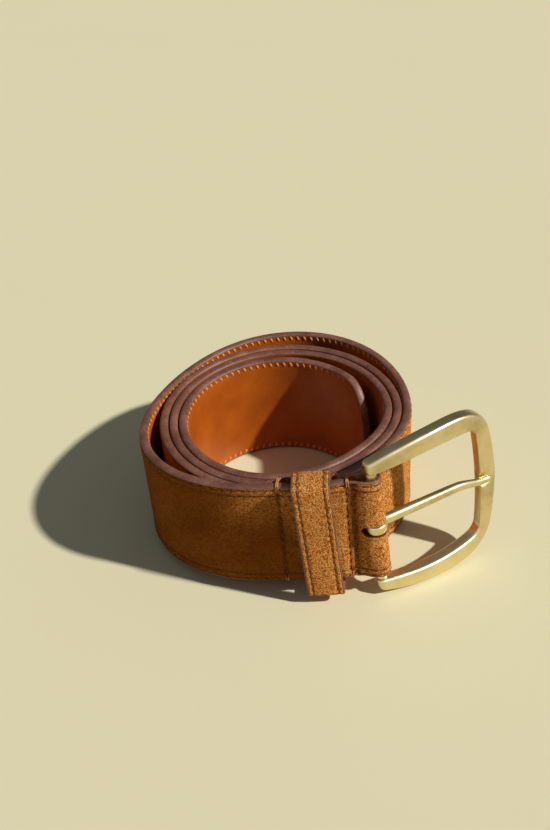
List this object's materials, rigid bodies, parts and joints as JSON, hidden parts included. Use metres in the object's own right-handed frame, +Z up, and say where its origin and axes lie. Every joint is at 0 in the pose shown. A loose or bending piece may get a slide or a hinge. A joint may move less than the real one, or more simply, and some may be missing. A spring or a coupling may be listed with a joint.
{
  "type": "leather belt",
  "caption": "Leather belt rolled into a standing coil, with a hinged pin buckle, a turning prong and a sliding keeper.",
  "frame": {"origin": "middle of the belt's footprint, on the surface it stands on", "axes": "+Z up, along the axis of the coil; +X towards the buckle side; the buckle end of the strap lies along the front, at -Y"},
  "size_m": [0.1144, 0.1002, 0.0601],
  "materials": {
    "suede": "nubuck suede, short nap",
    "painted_edge": "dark bonded core and burnished, painted edge",
    "lining": "smooth vegetable-tanned leather",
    "thread": "waxed thread, tone on tone",
    "brass": "satin antique brass"
  },
  "bodies": {
    "strap": {"strap_face": "suede", "strap_core": "painted_edge", "strap_lining": "lining", "left_seam_stitches": "thread", "right_seam_stitches": "thread"},
    "keeper": {"keeper_loop": "suede", "keeper_joint_stitches": "thread"},
    "buckle": {"buckle_frame": "brass", "buckle_bar": "brass"},
    "prong": {"prong": "brass"}
  },
  "joints": [
    {"name": "buckle_swing", "type": "hinge", "parent": "strap", "child": "buckle", "pos_m": [0.01619, -0.04409, 0.02858], "axis": [-0.0773, 0.0081, 0.997], "range_deg": [-60, 20]},
    {"name": "prong_pivot", "type": "hinge", "parent": "buckle", "child": "prong", "pos_m": [0.01619, -0.04409, 0.02858], "axis": [0.0773, -0.0081, -0.997], "range_deg": [0, 100]},
    {"name": "keeper_slide", "type": "slide", "parent": "strap", "child": "keeper", "axis": [0.9915, -0.1042, 0.0778], "range_m": [-0.0036, 0.0014]}
  ]
}
